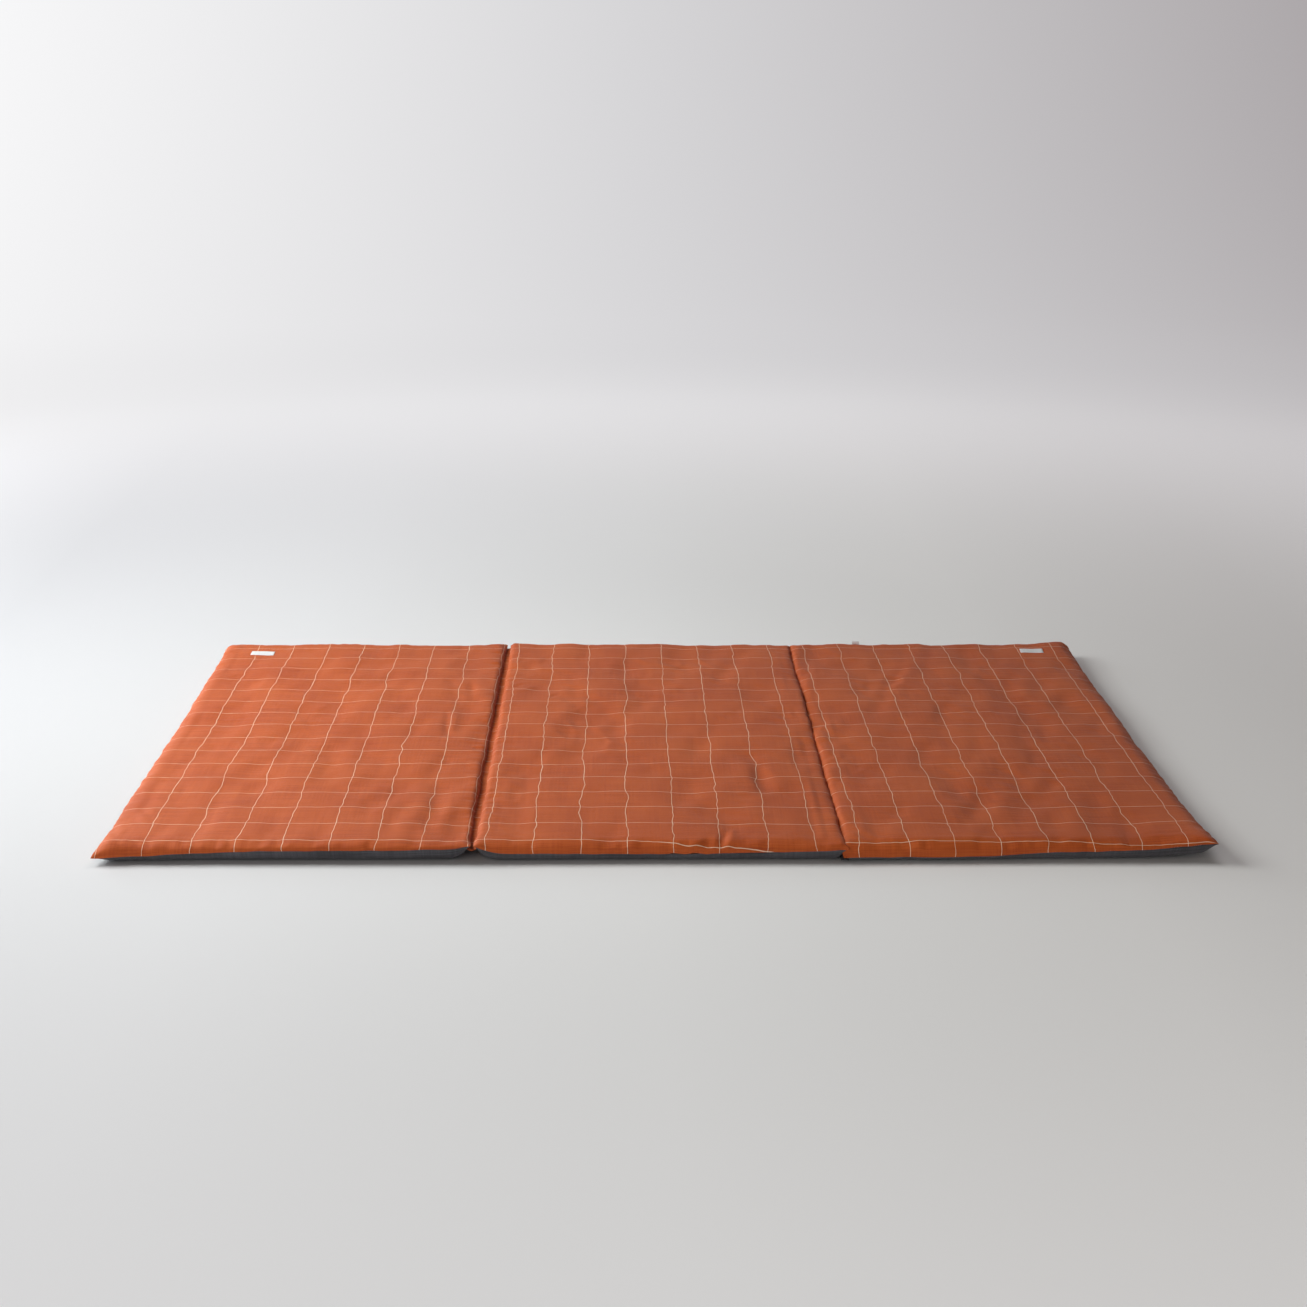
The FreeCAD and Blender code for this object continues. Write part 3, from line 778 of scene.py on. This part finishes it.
def hemmed(name, cut, flip=False):
    """The cover's mesh, with its edge turned in along the zip."""
    rows, columns = cut.u.shape
    index = np.arange(rows * columns).reshape(rows, columns)
    span = np.flatnonzero(np.abs(cut.x[-1]) < ZIP_END + 8)
    points, uv = [cut.points.reshape(-1, 3)], [np.stack((cut.u, cut.v), -1).reshape(-1, 2)]
    rows_of_hem = [index[-1, span]]
    for count, turned in enumerate((1.3, 4.4)):
        points.append(cut.points[-1, span] - (0, turned, 0))
        uv.append(np.stack((cut.u[-1, span], cut.v[-1, span] + turned), -1))
        rows_of_hem.append(rows * columns + count * len(span) + np.arange(len(span)))
    faces = grid_faces(index, flip) + grid_faces(np.array(rows_of_hem), flip)
    return mesh_piece(name, np.concatenate(points), faces), np.concatenate(uv)


def check_cover(cut):
    """The upper cover, with its check counted out along the cloth so that the lines follow every fold."""
    folded(cut)
    piece, flat = hemmed(f"{cut.pad}_check_cover", cut)
    u, v, seed, shape = flat[:, 0], flat[:, 1], SEEDS[cut.pad], PADS[cut.pad]
    du = 5.0 * waves(u + cut.centre, v, 88, seed) + 2.8 * waves(u + cut.centre, v, 37, seed + 3)
    du = du + 1.8 * waves(u + cut.centre, v, 18, seed + 4)
    dv = 3.2 * waves(u + cut.centre, v, 120, seed + 5) + 1.2 * waves(u + cut.centre, v, 40, seed + 8)
    drift = eased(shape["drift"], u / cut.wide, 1) * np.exp(-(v + cut.front) / 60)
    across = (u + du - shape["first_line"]) / shape["line_step"] + 0.5
    deep = (v + dv + drift - REAR_LINE) / CELL + 0.5
    store(piece, "check_count", np.stack((across, deep), -1))
    store(piece, "cloth_place", np.stack((u + cut.centre, v), -1) * MM)
    smoother(piece)
    put_on(piece, f"{cut.pad}_pad", "check_cotton", CHECK, f"{cut.pad}_top_cover")
    return piece


def charcoal_cover(pad):
    """The lower cover, which lies on the floor."""
    cut = Cut(pad, "lower", STEP)
    piece, flat = hemmed(f"{pad}_charcoal_cover", cut, flip=True)
    store(piece, "cloth_place", (flat + (cut.centre, 0)) * MM)
    smoother(piece)
    put_on(piece, f"{pad}_pad", "charcoal_cotton", CHARCOAL, f"{pad}_bottom_cover")


# ---------------------------------------------------------------- what lies inside

CASE_FLOOR, CORE_EDGE = 1.9, 3.0  # mm, the underside of the case, and the round on the core's edges
CORE_GAP, THINNEST = 0.35, 0.25  # mm between the core and the wadding, and the wadding's least thickness
INNER_STEP = 16  # mm between the points of the pieces inside


def over(cut, wide, deep):
    """1 over the core, down to 0 a little way past its edges."""
    beside = np.maximum(np.abs(cut.x) - wide, np.abs(cut.y) - deep)
    return np.clip(1 - beside / 12, 0, 1)


def joined(inner, outer):
    """Brings the rim of one surface onto the rim of another."""
    inner[[0, -1]] = outer[[0, -1]]
    inner[:, [0, -1]] = outer[:, [0, -1]]


def filling(pad):
    """The calico case, the core and the wadding above and below it."""
    box = {part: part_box(f"{pad}_{part}") for part in ("inner_case", "core", "upper_wadding")}
    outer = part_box(f"{pad}_top_cover")[1].y
    body, seed = f"{pad}_pad", SEEDS[pad]
    core_wide = 1000 * (box["core"][1].x - box["core"][0].x) / 2
    core_deep = 1000 * (box["core"][1].y - box["core"][0].y) / 2
    core_low, core_high = 1000 * box["core"][0].z, 1000 * box["core"][1].z

    inset = 1000 * (outer - box["inner_case"][1].y)
    case, under = (Cut(pad, half, INNER_STEP, inset, plain=True) for half in ("upper", "lower"))
    upper, lower = case.surface(CASE_TOP), under.surface(CASE_FLOOR)
    upper[..., 2] += 0.5 * waves(case.u, case.v, 38, seed + 81) * case.rise
    piece = slab_piece(f"{pad}_calico_case", upper, lower)
    smoother(piece)
    store(piece, "cloth_place", np.array([v.co[:2] for v in piece.data.vertices]))
    put_on(piece, body, "case_cotton", CALICO, f"{pad}_inner_case")

    inset = 1000 * (outer - box["upper_wadding"][1].y) + 1.0
    batt, under = (Cut(pad, half, INNER_STEP, inset, plain=True) for half in ("upper", "lower"))
    outer_top = batt.surface(CASE_TOP - 1.1)
    outer_top[..., 2] += 0.35 * waves(batt.u, batt.v, 30, seed + 85) * batt.rise
    inner_top = outer_top.copy()
    rise = (core_high + CORE_GAP + batt.lifted - batt.seam) * over(batt, core_wide, core_deep)
    inner_top[..., 2] = np.minimum(batt.seam + 0.2 + rise, outer_top[..., 2] - THINNEST)
    joined(inner_top, outer_top)
    piece = slab_piece(f"{pad}_upper_batt", outer_top, inner_top)
    put_on(piece, body, "cotton_wadding", WADDING, f"{pad}_upper_wadding")

    outer_low = under.surface(CASE_FLOOR + 0.7)
    inner_low = outer_low.copy()
    rise = (core_low - CORE_GAP + under.lifted - under.seam) * over(under, core_wide, core_deep)
    inner_low[..., 2] = np.maximum(under.seam - 0.2 + rise, outer_low[..., 2] + THINNEST)
    joined(inner_low, outer_low)
    piece = slab_piece(f"{pad}_lower_batt", inner_low, outer_low)
    put_on(piece, body, "cotton_wadding", WADDING, f"{pad}_lower_wadding")

    edge = CORE_EDGE * (1 - np.cos(np.radians(np.linspace(0, 90, 5))))
    x = np.concatenate((-core_wide + edge, np.linspace(-core_wide, core_wide, 34)[1:-1], (core_wide - edge)[::-1]))
    y = np.concatenate((-core_deep + edge, np.linspace(-core_deep, core_deep, 66)[1:-1], (core_deep - edge)[::-1]))
    x, y = np.meshgrid(x, y)
    inside = np.minimum(np.minimum(core_wide - np.abs(x), core_deep - np.abs(y)), CORE_EDGE)
    rounded = CORE_EDGE - np.sqrt(np.maximum(CORE_EDGE**2 - (CORE_EDGE - inside) ** 2, 0))
    raised = lift(pad, x, y, case.wide + 10, case.deep + 10)
    centre = 500 * (box["core"][0].x + box["core"][1].x)
    top = np.stack((x + centre, y, core_high - rounded + raised), -1)
    base = np.stack((x + centre, y, core_low + rounded + raised), -1)
    piece = slab_piece(f"{pad}_fibre_core", top, base, welded=False)
    put_on(piece, body, "pressed_fibre", FIBRE, f"{pad}_core")


# ---------------------------------------------------------------- folds, zips and labels

PAST_ENDS = 13  # mm, how far the cloth of a hinge strip runs past the plain strip
SPARE_WIDE, SPARE_LONG = 1.15, 1.3  # how much larger the gathered strip is when it is laid flat


def hinge_strip(node, name, material, drop, sag, way):
    """A gathered strip of cloth sewn in between two pads."""
    low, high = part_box(node)
    x0, x1, y0, y1 = (1000 * n for n in (low.x, high.x, low.y, high.y))
    level = 500 * (low.z + high.z)
    x, y = np.meshgrid(np.linspace(x0 - 0.5, x1 + 0.5, 23), np.linspace(y0 - PAST_ENDS, y1 + PAST_ENDS, 370))
    middle = np.clip(1 - ((2 * x - x0 - x1) / (x1 - x0)) ** 2, 0, 1)
    gathers = waves(y, x * 0.25, 9, sag) + 0.7 * waves(y, x * 0.2, 4.5, sag + 5)
    z = level - way * (drop + sag * middle) + 2.0 * gathers * (0.2 + 0.8 * middle)
    x = x + 0.6 * waves(y, x, 14, sag + 9)
    piece = grid_piece(name, np.stack((x, y, z), -1))
    store(piece, "cloth_place", np.stack((x, y * SPARE_LONG), -1) * MM)
    store(piece, "check_count", np.stack((x * 0 + 0.02, (y * SPARE_LONG - REAR_LINE) / CELL + 0.5), -1))
    piece.data.materials.append(material)
    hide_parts(node)
    thicken(piece, 0.5)
    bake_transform(piece)


TAPE_EDGES = ((2.35, 9.6), (-2.35, -7.2))  # mm above and below the chain, the near and far edge of each tape
COIL_ROUND, COIL_APART, COIL_WIRE = 0.62, 1.45, 0.27  # mm, a turn's radius, a coil's level, the wire's radius


def zip_fastener(pad):
    """Tapes with a wound coil along each edge. The stops, slider and pull are the CAD castings."""
    body = f"{pad}_pad"
    low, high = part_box(f"{pad}_zip_tapes")
    x0, x1, y = 1000 * low.x, 1000 * high.x, 500 * (low.y + high.y)
    coil_low, coil_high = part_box(f"{pad}_zip_coils")
    start, end = 1000 * coil_low.x, 1000 * coil_high.x
    middle = 500 * (coil_low.z + coil_high.z)
    grids = []
    for near, far in TAPE_EDGES:
        x, z = np.meshgrid(np.linspace(x0, x1, 120), middle + np.linspace(near, far, 9))
        grids.append(np.stack((x, y + 0.06 * waves(x, z, 22, near), z), -1))
    rows, columns = grids[0].shape[:2]
    index = np.arange(rows * columns).reshape(rows, columns)
    faces = grid_faces(index, True) + grid_faces(index + rows * columns)
    tapes = mesh_piece(f"{pad}_woven_tapes", np.concatenate([g.reshape(-1, 3) for g in grids]), faces)
    thicken(tapes, 0.5)
    put_on(tapes, body, "zip_tape", TAPE, f"{pad}_zip_tapes")

    pitch, per_turn = 1.5, 9  # mm between turns of the coil, and points in a turn
    turns = int((end - start) / pitch)
    angle = np.linspace(0, 2 * math.pi * turns, turns * per_turn)
    x = start + 0.4 + (end - start - 0.8) * angle / angle[-1]
    paths = [
        np.stack((x, y + COIL_ROUND * np.cos(angle + shift),
                  middle + side * COIL_APART + COIL_ROUND * np.sin(angle + shift)), -1)
        for side, shift in ((1, 0.0), (-1, math.pi))
    ]
    coils = tube_piece(f"{pad}_wound_coils", paths, COIL_WIRE, sides=5)
    put_on(coils, body, "zip_coil", COIL, f"{pad}_zip_coils")
    for part in ("zip_stops", "zip_slider", "zip_pull"):
        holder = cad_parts[f"{pad}_{part}"]
        holder.data.materials.clear()
        holder.data.materials.append(METAL)


STITCH, STITCH_INSET = 1.7, 2.2  # mm, a stitch's length and its distance from the label's end


def corner_label(side, cover, turned):
    """A blank woven ribbon label, stitched down at both ends."""
    node = f"{side}_corner_label"
    low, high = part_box(node)
    centre = Vector(((low.x + high.x) / 2, (low.y + high.y) / 2, 0)) * 1000
    half_wide, half_deep = 500 * (high.x - low.x) - 0.5, 500 * (high.y - low.y) - 0.5
    shapes = bpy.context.evaluated_depsgraph_get()
    solid = BVHTree.FromObject(cover, shapes)
    turn = math.radians(turned)

    def over_cloth(a, b, above):
        x = centre.x + a * math.cos(turn) - b * math.sin(turn)
        y = centre.y + a * math.sin(turn) + b * math.cos(turn)
        hit = solid.ray_cast(Vector((x, y, 200)) * MM, Vector((0, 0, -1)))[0]
        return (x, y, 1000 * hit.z + above)

    along, deep = np.linspace(-half_wide, half_wide, 27), np.linspace(-half_deep, half_deep, 15)
    points = np.array(
        [[over_cloth(a, b, 0.3 + 0.25 * math.cos(a / half_wide * 1.4) ** 2) for a in along] for b in deep]
    )
    piece = grid_piece(f"{side}_ribbon_label", points)
    a, b = np.meshgrid(along, deep)
    store(piece, "cloth_place", np.stack((a, b), -1) * MM)
    thicken(piece, 0.35)
    rows = []
    for end in (-1, 1):
        for b in np.arange(-half_deep + 1.5, half_deep - 1.5, 2.6):
            rows.append([
                over_cloth(end * (half_wide - STITCH_INSET), b + t, 0.5 + 0.15 * math.sin(t / STITCH * math.pi))
                for t in (0, 0.6, 1.1, STITCH)
            ])
    stitches = tube_piece(f"{side}_label_stitches", rows, 0.22, taper=True)
    put_on(piece, f"{side}_pad", "label_ribbon", RIBBON, node)
    put_on(stitches, f"{side}_pad", "label_ribbon", RIBBON)


def care_tab():
    """A folded ribbon tab that stands up out of the rear seam."""
    low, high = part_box("care_tab")
    x0, x1, y, base, top = (1000 * n for n in (low.x, high.x, low.y, low.z, high.z))
    front = [(y - 0.6, base - 1.5), (y + 0.3, base + 3), (y + 1.0, base + 9), (y + 1.6, top - 2.5)]
    front += [(y + 2.0, top - 0.8)]
    over = [(y + 2.4, top - 0.3), (y + 2.9, top - 0.8)]
    back = [(y + 2.9, top - 2.5), (y + 2.1, base + 9), (y + 1.2, base + 3), (y + 0.1, base - 1.5)]
    line = np.array(front + over + back)
    x = np.linspace(x0, x1, 9)
    points = np.array([[(a, p[0] + 0.15 * math.sin(a), p[1]) for a in x] for p in line])
    piece = grid_piece("folded_care_tab", points, flip=True)
    store(piece, "cloth_place", np.stack(np.meshgrid(x - x.mean(), np.arange(len(line)) * 4.0 + 20), -1) * MM)
    smoother(piece)
    thicken(piece, 0.25)
    put_on(piece, "right_pad", "label_ribbon", RIBBON, "care_tab")


# ---------------------------------------------------------------- making the mattress

STEP, FINE_STEP = 9.0, 6.0  # mm between the points of the cloth as it falls, and in the finished cover
SEEDS = {"left": 1.7, "middle": 5.3, "right": 9.1}
REAR_LINE = 515.0  # mm, a left-to-right line of the check

aim_camera()
studio()
CHECK, CHARCOAL, CALICO = check_cotton(), charcoal_cotton(), case_cotton()
WADDING, FIBRE = cotton_wadding(), pressed_fibre()
TAPE, COIL, METAL, RIBBON = zip_tape(), zip_coil(), zip_metal(), label_ribbon()

rough_cuts = [Cut(pad, "upper", STEP) for pad in PADS]
fallen = settle(rough_cuts)
covers = {}
for rough in rough_cuts:
    cut = Cut(rough.pad, "upper", FINE_STEP)
    if rough.pad in fallen:
        cut.points = cut.points + carried_over(fallen[rough.pad], rough, cut)
    covers[cut.pad] = check_cover(cut)
for pad in PADS:
    charcoal_cover(pad)
    filling(pad)
    zip_fastener(pad)
hinge_strip("left_hinge_strip", "left_gathered_hinge", CHECK, 6.0, 4.0, 1)
hinge_strip("right_hinge_strip", "right_gathered_hinge", CHARCOAL,
            -1.0, 1.0, -1)
corner_label("left", covers["left"], 1.0)
corner_label("right", covers["right"], -3.0)
care_tab()
